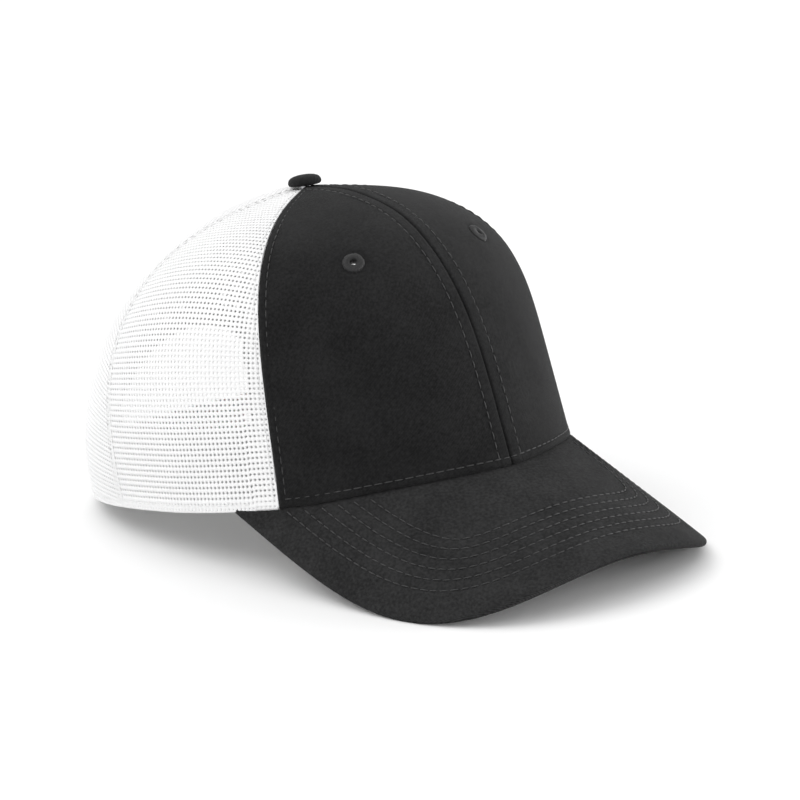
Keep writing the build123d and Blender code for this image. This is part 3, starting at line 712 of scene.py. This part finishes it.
def gore_lattice(start, end, row_pitch, column_pitch, phase=0.0):
    """Azimuth and t of a net's lattice points, clamped to the gore's edges."""
    centre = (start + end) / 2
    spine = crown(np.full(T_GRID.shape, centre), T_GRID)
    length = lengths(spine)
    tangent = np.gradient(spine, axis=0)
    tangent = np.array([tangent[np.abs(length - at) < ROW_TURN].mean(axis=0) for at in length])
    tangent /= np.linalg.norm(tangent, axis=1, keepdims=True)
    azimuths = np.linspace(start, end, GORE_SAMPLES)
    surface = crown(azimuths[:, None], T_GRID[None, :])
    row_at = (np.arange(-ROWS_BELOW, int(length[-1] / row_pitch) + 1) + phase) * row_pitch
    half_columns = int(GORE_HALF_WIDTH / column_pitch)
    column_at = (np.arange(-half_columns, half_columns + 1) + phase) * column_pitch
    lattice_azimuth = np.zeros((len(row_at), len(column_at)))
    lattice_t = np.zeros_like(lattice_azimuth)
    for i, s in enumerate(row_at):
        inside = min(max(s, 0.0), length[-1])
        direction = at_lengths(tangent, length, inside)
        point = at_lengths(spine, length, inside) + direction * (s - inside)
        level = (surface - point) @ direction
        level = np.maximum.accumulate(level, axis=1)
        row_t = np.array([np.interp(0, level[k], T_GRID) for k in range(len(azimuths))])
        along = lengths(crown(azimuths, row_t))
        along -= np.interp(centre, azimuths, along)
        lattice_azimuth[i] = np.interp(column_at, along, azimuths)
        lattice_t[i] = np.interp(lattice_azimuth[i], azimuths, row_t)
    return lattice_azimuth, lattice_t


HEM_HOLES, HEM_LOW, HEM_HIGH = 0.4, 2.2, 4.4
SMALLEST_CELL, SMALLEST_OPEN = 0.12, 0.5
YARN_SAG, FRONT_LIP, BACK_LIP = 0.05, 0.16, 0.12
HOLE_WIDE, HOLE_TALL = 0.27, 0.22
HOLE_ANGLE = np.radians(np.array([225, 270, 315, 0, 45, 90, 135, 180]))
EDGE_STEP = [(0, 0), (0, 1), (0, 2), (1, 2), (2, 2), (2, 1), (2, 0), (1, 0)]


def net_panel(name, start, end, keep=None, depth=0.0, phase=0.0):
    """An open net over one gore: each cell is a ring of yarn round a real hole."""
    low, high = min(start, end), max(start, end)
    azimuth, t = gore_lattice(low, high, ROW_PITCH, COLUMN_PITCH, phase)
    rows, columns = azimuth.shape
    size = np.linalg.norm(crown(azimuth[:, 1:], t[:, 1:]) - crown(azimuth[:, :-1], t[:, :-1]), axis=-1)
    rise = np.linalg.norm(crown(azimuth[1:], t[1:]) - crown(azimuth[:-1], t[:-1]), axis=-1)
    fine_azimuth = np.zeros((2 * rows - 1, 2 * columns - 1))
    fine_t = np.zeros_like(fine_azimuth)
    for coarse, fine in ((azimuth, fine_azimuth), (t, fine_t)):
        fine[::2, ::2] = coarse
        fine[1::2, ::2] = (coarse[1:] + coarse[:-1]) / 2
        fine[::2, 1::2] = (coarse[:, 1:] + coarse[:, :-1]) / 2
        fine[1::2, 1::2] = (coarse[1:, 1:] + coarse[:-1, 1:] + coarse[1:, :-1] + coarse[:-1, :-1]) / 4
    number, spots, faces, edge_use = {}, [], [], {}

    def spot(i, j):
        if (i, j) not in number:
            number[(i, j)] = len(spots)
            crossing = (i % 2 == 0) and (j % 2 == 0)
            spots.append((fine_azimuth[i, j], fine_t[i, j], depth + (0.0 if crossing else YARN_SAG)))
        return number[(i, j)]

    cells = []
    for i in range(rows - 1):
        for j in range(columns - 1):
            width = (size[i, j] + size[i + 1, j]) / 2
            tall = (rise[i, j] + rise[i, j + 1]) / 2
            if width < SMALLEST_CELL * COLUMN_PITCH or tall < SMALLEST_CELL * ROW_PITCH:
                continue
            middle = fine_azimuth[2 * i + 1, 2 * j + 1], fine_t[2 * i + 1, 2 * j + 1]
            if keep is not None and not keep(*middle):
                continue
            ring = [spot(2 * i + a, 2 * j + b) for a, b in EDGE_STEP]
            open_cell = width > SMALLEST_OPEN * COLUMN_PITCH and tall > SMALLEST_OPEN * ROW_PITCH
            cells.append((i, j, middle, ring, open_cell))
            for a, b in zip(ring, ring[1:] + ring[:1]):
                edge_use[(min(a, b), max(a, b))] = edge_use.get((min(a, b), max(a, b)), 0) + 1
    back = len(spots)
    spots += [(at_azimuth, at_t, depth + NET_BACK) for at_azimuth, at_t, _ in spots]
    for i, j, middle, ring, open_cell in cells:
        if not open_cell:
            faces.append(tuple(ring))
            faces.append(tuple(back + k for k in ring)[::-1])
        else:
            c00, c01 = (azimuth[i, j], t[i, j]), (azimuth[i, j + 1], t[i, j + 1])
            c10, c11 = (azimuth[i + 1, j], t[i + 1, j]), (azimuth[i + 1, j + 1], t[i + 1, j + 1])
            first = len(spots)
            above = crown(*middle)[2] - crown(middle[0], 0)[2]
            size_here = HEM_HOLES + (1 - HEM_HOLES) * float(ease(HEM_LOW, HEM_HIGH, above))
            for layer_depth in (depth + FRONT_LIP, depth + NET_BACK - BACK_LIP):
                for angle in HOLE_ANGLE:
                    u = 0.5 + size_here * HOLE_WIDE * math.cos(angle)
                    v = 0.5 + size_here * HOLE_TALL * math.sin(angle)
                    spots.append(tuple(
                        (1 - v) * ((1 - u) * c00[k] + u * c01[k]) + v * ((1 - u) * c10[k] + u * c11[k])
                        for k in (0, 1)) + (layer_depth,))
            second = first + len(HOLE_ANGLE)
            for q in range(len(HOLE_ANGLE)):
                p = (q + 1) % len(HOLE_ANGLE)
                faces.append((ring[q], ring[p], first + p, first + q))
                faces.append((first + q, first + p, second + p, second + q))
                faces.append((back + ring[p], back + ring[q], second + q, second + p))
        for a, b in zip(ring, ring[1:] + ring[:1]):
            if edge_use[(min(a, b), max(a, b))] == 1:
                faces.append((b, a, back + a, back + b))
    spots = np.array(spots)
    return piece(name, crown(spots[:, 0], spots[:, 1], spots[:, 2]), faces)


ARCH_LAP = 2.0


def outside_arch(azimuth, t):
    """True where the rear net is clear of the opening, apart from what the binding covers."""
    x, _, z = crown(azimuth, t)
    return math.hypot(x, max(z - ARCH_CENTRE_Z, 0)) > ARCH_RADIUS + ARCH_LAP


def beside(azimuth, t, seam, width):
    """True within a width of a seam's meridian."""
    x, y, _ = crown(azimuth, t)
    angle = math.radians(seam)
    return abs(x * math.cos(angle) - y * math.sin(angle)) < width


FRONT_FOLD, REAR_FOLD, HEM_FOLD, FOLD_DEPTH = 5.5, 3.2, 4.2, 0.66


def side_fold(side):
    """Where the side net is double: its folded edges at both seams and the hem at the rim."""
    front, rear = side * FRONT_SIDE_SEAM, side * SIDE_REAR_SEAM
    return lambda a, t: (
        beside(a, t, front, FRONT_FOLD) or beside(a, t, rear, REAR_FOLD) or crown(a, t)[2] < HEM_FOLD
    )


def rear_fold(side):
    """Where the rear net is double."""
    rear = side * SIDE_REAR_SEAM
    return lambda a, t: outside_arch(a, t) and (
        beside(a, t, rear, REAR_FOLD) or beside(a, t, 180, REAR_FOLD) or crown(a, t)[2] < HEM_FOLD
    )


for side_name, side in SIDES.items():
    front, rear = side * FRONT_SIDE_SEAM, side * SIDE_REAR_SEAM
    obj = net_panel(f"side_net_{side_name}", front, rear)
    finish_piece(obj, "white_net", NET, f"side_mesh_{side_name}")
    obj = net_panel(f"rear_net_{side_name}", rear, side * 180, outside_arch)
    finish_piece(obj, "white_net", NET, f"rear_mesh_{side_name}")
    obj = net_panel(f"side_net_fold_{side_name}", front, rear, side_fold(side), FOLD_DEPTH, phase=0.5)
    finish_piece(obj, "white_net", NET)
    obj = net_panel(f"rear_net_fold_{side_name}", rear, side * 180, rear_fold(side), FOLD_DEPTH, phase=0.5)
    finish_piece(obj, "white_net", NET)

FRONT_NET_STITCH, NET_STITCH, HEM_STITCH, HEM_END = 1.6, 1.5, 2.6, 155
ARCH_TOP = ARCH_CENTRE_Z + ARCH_RADIUS + BINDING_WIDTH
net_paths = []
for side in SIDES.values():
    net_paths.append(offset_from_seam(side * FRONT_SIDE_SEAM, side * FRONT_NET_STITCH, 0.0))
    net_paths.append(offset_from_seam(side * SIDE_REAR_SEAM, side * NET_STITCH, 0.0))
    net_paths.append(offset_from_seam(side * SIDE_REAR_SEAM, -side * NET_STITCH, 0.0))
    net_paths.append(offset_from_seam(180, side * NET_STITCH, 0.0, ARCH_TOP + 2))
    rim_azimuth = side * np.linspace(VISOR_END + 1, HEM_END, 260)
    rim_t = np.array([t_at_height(a, HEM_STITCH) for a in rim_azimuth])
    net_paths.append((crown(rim_azimuth, rim_t, 0.0), crown_normal(rim_azimuth, rim_t)))
stitches(
    "net_stitching", *zip(*net_paths), "white_net", WHITE_THREAD, seed=6, length=2.4, gap=0.7, radius=0.2
)

# ---- Visor: two covers with concentric rows of stitches and a rolled edge ----
ROW_COUNT, FIRST_ROW, ROW_SPACING = 6, 12.7, 4.67
CHANNEL_DEPTH, CHANNEL_WIDTH = 0.3, 0.75
TOP_ROLL, UNDER_ROLL = (1.3, 1.3), (2.4, 1.55)
TOP_RIPPLE, UNDER_RIPPLE, RIPPLE_SIZE = 0.15, 0.04, 45
COVER_THICK, LIP_OVERLAP = 0.5, 0.05
ROW_CLEARANCE, ROW_POINTS, THREAD_SINK = 0.4, 500, 0.1


def edge_distance(arc, forward, edge):
    """Distance of flat visor points from its outer edge."""
    flat = np.stack([arc.ravel(), forward.ravel()], 1)
    best = np.full(len(flat), 1e9)
    for a, b in zip(edge[:-1], edge[1:]):
        step = b - a
        u = np.clip(((flat - a) @ step) / (step @ step), 0, 1)
        best = np.minimum(best, np.linalg.norm(flat - a - u[:, None] * step, axis=1))
    return best.reshape(arc.shape)


def visor_relief(distance):
    """Depth of the stitch channels at a distance from the edge, with the cloth puffed between them."""
    sunk = np.zeros_like(distance)
    for k in range(ROW_COUNT):
        sunk += CHANNEL_DEPTH * bell(distance - FIRST_ROW - k * ROW_SPACING, CHANNEL_WIDTH)
    return sunk


def visor_cover(name, top):
    """The upper or under cover of the visor, rolled over its outer edge to the seam."""
    columns, rows = 330, 150
    outer = visor_edge(0, columns)
    inner = visor_root_edge(columns)
    q = 1 - (1 - np.linspace(0, 1, rows)) ** 1.25
    arc = inner[None, :, 0] + (outer - inner)[None, :, 0] * q[:, None]
    forward = inner[None, :, 1] + (outer - inner)[None, :, 1] * q[:, None]
    distance = edge_distance(arc, forward, visor_edge(0, 300))
    reach, drop = TOP_ROLL if top else UNDER_ROLL
    roll = drop * (1 - np.sqrt(1 - np.clip(1 - distance / reach, 0, 1) ** 2))
    height = TOP_RIPPLE if top else UNDER_RIPPLE
    sunk = visor_relief(distance) + roll - ripple(visor(arc, forward), RIPPLE_SIZE, height, 7)
    middle = VISOR_THICK / 2
    if top:
        face = visor(arc, forward, sunk)
        back = visor(arc, forward, np.maximum(sunk + COVER_THICK, middle - LIP_OVERLAP))
    else:
        face = visor(arc, forward, VISOR_THICK - sunk)
        back = visor(arc, forward, np.minimum(VISOR_THICK - sunk - COVER_THICK, middle + LIP_OVERLAP))
    points, faces = slab(face, back)
    obj = piece(name, points, faces)
    uv = np.stack([arc, forward], -1).reshape(-1, 2)
    add_uv(obj, np.concatenate([uv, uv]))
    return obj


obj = visor_cover("visor_top_cloth", True)
finish_piece(obj, "visor_twill", VISOR_TWILL_PAINTED_LIGHT, "visor_top_cover")
obj = visor_cover("visor_under_cloth", False)
finish_piece(obj, "visor_under_twill", VISOR_TWILL_PAINTED_LIGHT, "visor_under_cover")


def visor_rows(depth, facing):
    """Paths and normals of the visor's stitch rows, clipped where they meet the crown."""
    paths, normals = [], []
    for k in range(ROW_COUNT):
        row = visor_edge(FIRST_ROW + k * ROW_SPACING, ROW_POINTS)
        plan = visor(row[:, 0], row[:, 1])
        azimuth = np.degrees(np.arctan2(-plan[:, 0], -plan[:, 1]))
        row = row[np.hypot(plan[:, 0], plan[:, 1]) - rim_radius(azimuth) > ROW_CLEARANCE]
        angle = row[:, 0] / VISOR_BEND
        normal = np.sin(angle)[:, None] * np.array([1.0, 0, 0]) + np.cos(angle)[:, None] * VISOR_NORMAL
        paths.append(visor(row[:, 0], row[:, 1], depth))
        normals.append(normal * facing)
    return paths, normals


stitches(
    "visor_top_stitching", *visor_rows(THREAD_SINK, 1), "black_thread", BLACK_THREAD, seed=8, radius=0.26
)
stitches(
    "visor_under_stitching", *visor_rows(VISOR_THICK - THREAD_SINK, -1), "black_thread", BLACK_THREAD, seed=9
)


# ---- Button ----
PUCKER_COUNT, PUCKER_DEPTH, PUCKER_TOP, PUCKER_INSIDE = 14, 0.1, 1.6, 3


def button_cover():
    """The covered button: a flat dome with its cloth drawn in underneath."""
    around_count = 120
    angle = np.linspace(0, 2 * math.pi, around_count, endpoint=False)
    profile = np.array([(2.1, 0.55), (4.2, 0.42), (5.6, 0.45), (6.25, 0.75), (6.5, 1.3), (6.42, 1.95),
                        (6.05, 2.65), (5.3, 3.2), (4.1, 3.62), (2.6, 3.88), (1.2, 3.98), (0.02, 4.0)])
    points = []
    for radius, height in profile * (1, BUTTON_HEIGHT / 4):
        pucker = PUCKER_DEPTH * np.cos(angle * PUCKER_COUNT) * max(0.0, 1 - height / PUCKER_TOP)
        r = radius + pucker * (radius > PUCKER_INSIDE)
        points.append(np.stack([r * np.cos(angle), r * np.sin(angle),
                                np.full(angle.shape, CROWN_HEIGHT + height)], 1))
    points = np.concatenate(points)
    obj = piece("button_cloth", points, ring_faces(len(profile), around_count))
    add_uv(obj, points[:, :2])
    return obj


finish_piece(button_cover(), "button_cloth", BUTTON_TWILL, "button_cover")

# ---- Stitching of the inner pieces and of the rear binding ----
def girth_path(height, depth, start, end, count=500):
    """A level path round the inside of the crown, with its normals pointing in."""
    azimuth = np.linspace(start, end, count)
    t = np.array([t_at_height(a, height, depth) for a in azimuth])
    return crown(azimuth, t, depth), -crown_normal(azimuth, t)


def inner_path(seam, distance, depth, low, high=0.97):
    """A path beside a seam on the inside of the crown, with its normals pointing in."""
    points, normals = offset_from_seam(seam, distance, depth, low, high)
    return points, -normals


BAND_INSIDE, FRONT_TAPE_INSIDE, REAR_TAPE_INSIDE, BINDING_OUTSIDE = 4.72, 2.92, 1.92, -0.82
band_rows = [girth_path(SWEATBAND_HEIGHT - 2.2, BAND_INSIDE, -SWEATBAND_END + 1, SWEATBAND_END - 1)]
for side in SIDES.values():
    band_rows.append(girth_path(2.6, BAND_INSIDE, side * (SWEATBAND_END - 1), side * (VISOR_END + 2)))
stitches("sweatband_stitching", *zip(*band_rows), "sweatband_cloth", WHITE_THREAD, seed=12, radius=0.2)

TAPE_STITCH, TAPE_LOW, REAR_TAPE_LOW = 5.6, 32, 57
TAPE_SEAMS = (
    (0, FRONT_TAPE_INSIDE, TAPE_LOW), (FRONT_SIDE_SEAM, FRONT_TAPE_INSIDE, TAPE_LOW),
    (-FRONT_SIDE_SEAM, FRONT_TAPE_INSIDE, TAPE_LOW), (SIDE_REAR_SEAM, REAR_TAPE_INSIDE, TAPE_LOW),
    (-SIDE_REAR_SEAM, REAR_TAPE_INSIDE, TAPE_LOW), (180, REAR_TAPE_INSIDE, REAR_TAPE_LOW),
)
tape_rows = []
for seam, depth, low in TAPE_SEAMS:
    for distance in (-TAPE_STITCH, TAPE_STITCH):
        tape_rows.append(inner_path(seam, distance, depth, low))
stitches("tape_stitching", *zip(*tape_rows), "seam_tape", WHITE_THREAD, seed=13, radius=0.18)


SURFACE_STEPS = 8


def rear_surface(x, z, depth):
    """The point of the rear wall at one x and height, and its normal."""
    azimuth = 180.0
    for _ in range(SURFACE_STEPS):
        t = t_at_height(azimuth, z, depth)
        radius = math.hypot(*crown(azimuth, t, depth)[:2])
        azimuth = 180.0 + math.degrees(math.asin(x / radius))
    return crown(azimuth, t, depth), crown_normal(azimuth, t)


BINDING_STITCH = BINDING_WIDTH - 1.3
arch_radius = ARCH_RADIUS + BINDING_STITCH
arch_angle = np.radians(np.linspace(-90, 90, 150))
arch_x, arch_z = arch_radius * np.sin(arch_angle), ARCH_CENTRE_Z + arch_radius * np.cos(arch_angle)
leg = np.linspace(1.5, ARCH_CENTRE_Z, 12)[:-1]
leg_x = np.full(leg.shape, arch_radius)
arch_x = np.concatenate([-leg_x, arch_x, leg_x])
arch_z = np.concatenate([leg, arch_z, leg[::-1]])
binding_points, binding_normals = zip(
    *(rear_surface(x, z, BINDING_OUTSIDE) for x, z in zip(arch_x, arch_z))
)
stitches(
    "binding_stitching", [np.array(binding_points)], [np.array(binding_normals)], "binding_cloth",
    WHITE_THREAD, seed=14, radius=0.2,
)

# ---- Pieces that keep their CAD shape ----
ROUNDED = {"sweatband": 0.4, "rear_opening_binding": 0.6, "peg_strap": 0.25, "hole_strap": 0.25,
           "care_label": 0.1, "visor_core": 0.3}
CAD_LOOKS = {
    "front_stiffener": BUCKRAM, "button_core": BUTTON_METAL, "button_rivet": BUTTON_METAL,
    "button_washer": BUTTON_METAL, "front_centre_tape": TAPE_CLOTH, "front_side_tape": TAPE_CLOTH,
    "side_rear_tape": TAPE_CLOTH, "rear_centre_tape": TAPE_CLOTH, "sweatband": BAND_CLOTH,
    "visor_core": BOARD, "rear_opening_binding": BINDING_CLOTH, "peg_strap": STRAP, "hole_strap": STRAP,
    "care_label": LABEL_CLOTH,
}
for node_name, node in frame["nodes"].items():
    for start, material in CAD_LOOKS.items():
        if node_name.startswith(start):
            node.data.materials.clear()
            node.data.materials.append(material)
    for start, width in ROUNDED.items():
        if node_name.startswith(start):
            bevel = node.modifiers.new("edge", "BEVEL")
            bevel.width, bevel.segments = width / 1000, 3
            bevel.limit_method, bevel.angle_limit = "ANGLE", math.radians(40)
            bevel.harden_normals = True

# ---- Camera, lights and floor ----
VIEW_AZIMUTH, VIEW_ELEVATION, VIEW_ROLL, VIEW_DISTANCE = -38.39, 14.95, -2.43, 1454.0
VIEW_TARGET = np.array([0, 27.0, 75.5])
VIEW_ASIDE, VIEW_DOWN = 22.57, 30.41
LENS, SENSOR = 170.1, 36.0


def add_camera():
    """The camera, turned round the target by azimuth, elevation and roll, and aimed a little beside it."""
    az, el, roll = (math.radians(v) for v in (VIEW_AZIMUTH, VIEW_ELEVATION, VIEW_ROLL))
    back = np.array([math.sin(az) * math.cos(el), -math.cos(az) * math.cos(el), math.sin(el)])
    right = np.array([math.cos(az), math.sin(az), 0.0])
    up = np.cross(back, right)
    right, up = right * math.cos(roll) + up * math.sin(roll), up * math.cos(roll) - right * math.sin(roll)
    eye = VIEW_TARGET + back * VIEW_DISTANCE
    aim = VIEW_TARGET + right * VIEW_ASIDE - up * VIEW_DOWN
    back = (eye - aim) / np.linalg.norm(eye - aim)
    right = np.cross(up, back)
    right /= np.linalg.norm(right)
    up = np.cross(back, right)
    camera = bpy.data.objects.new("camera", bpy.data.cameras.new("camera"))
    bpy.context.collection.objects.link(camera)
    camera.data.lens, camera.data.sensor_width = LENS, SENSOR
    camera.data.clip_end = 30
    turn = Matrix([list(v) for v in np.stack([right, up, back], 1)]).to_4x4()
    camera.matrix_world = Matrix.Translation(Vector(eye / 1000)) @ turn
    bpy.context.scene.camera = camera


LIGHTS = {
    "key": ((1.9, -1.4, 0.3), 1.2, 34),
    "fill": ((-1.6, -0.9, 1.3), 2.0, 3.0),
    "top": ((-1.1, 0.7, 1.8), 1.8, 13.5),
}
LIGHT_AIM = Vector((0, 0, 0.06))
SKY_STRENGTH = 0.95


def add_light(name, place, size, power):
    """A round lamp at a place in metres, aimed at the cap."""
    light = bpy.data.lights.new(name, "AREA")
    light.shape, light.size, light.energy = "DISK", size, power
    obj = bpy.data.objects.new(name, light)
    bpy.context.collection.objects.link(obj)
    obj.location = place
    obj.rotation_euler = (LIGHT_AIM - Vector(place)).to_track_quat("-Z", "Y").to_euler()


def add_floor():
    """A pale floor, which isn't part of the cap."""
    mesh = bpy.data.meshes.new("floor")
    half = 6.0
    corners = [(-half, -half, 0), (half, -half, 0), (half, half, 0), (-half, half, 0)]
    mesh.from_pydata(corners, [], [(0, 1, 2, 3)])
    floor = bpy.data.objects.new("floor", mesh)
    bpy.context.collection.objects.link(floor)
    n = Nodes("floor_paint", (0.93, 0.93, 0.93), 0.7)
    mesh.materials.append(n.set(Roughness=n.spread(n.noise(n.coordinates("Object"), 3.0), 0.6, 0.8)))
    floor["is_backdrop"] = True


add_camera()
add_floor()
for light_name, (place, size, power) in LIGHTS.items():
    add_light(light_name, place, size, power)
world_light = bpy.data.worlds.new("studio")
world_light.use_nodes = True
world_light.node_tree.nodes["Background"].inputs["Color"].default_value = (1, 1, 1, 1)
world_light.node_tree.nodes["Background"].inputs["Strength"].default_value = SKY_STRENGTH
bpy.context.scene.world = world_light
bpy.context.scene.view_settings.view_transform = "Standard"

low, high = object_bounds()
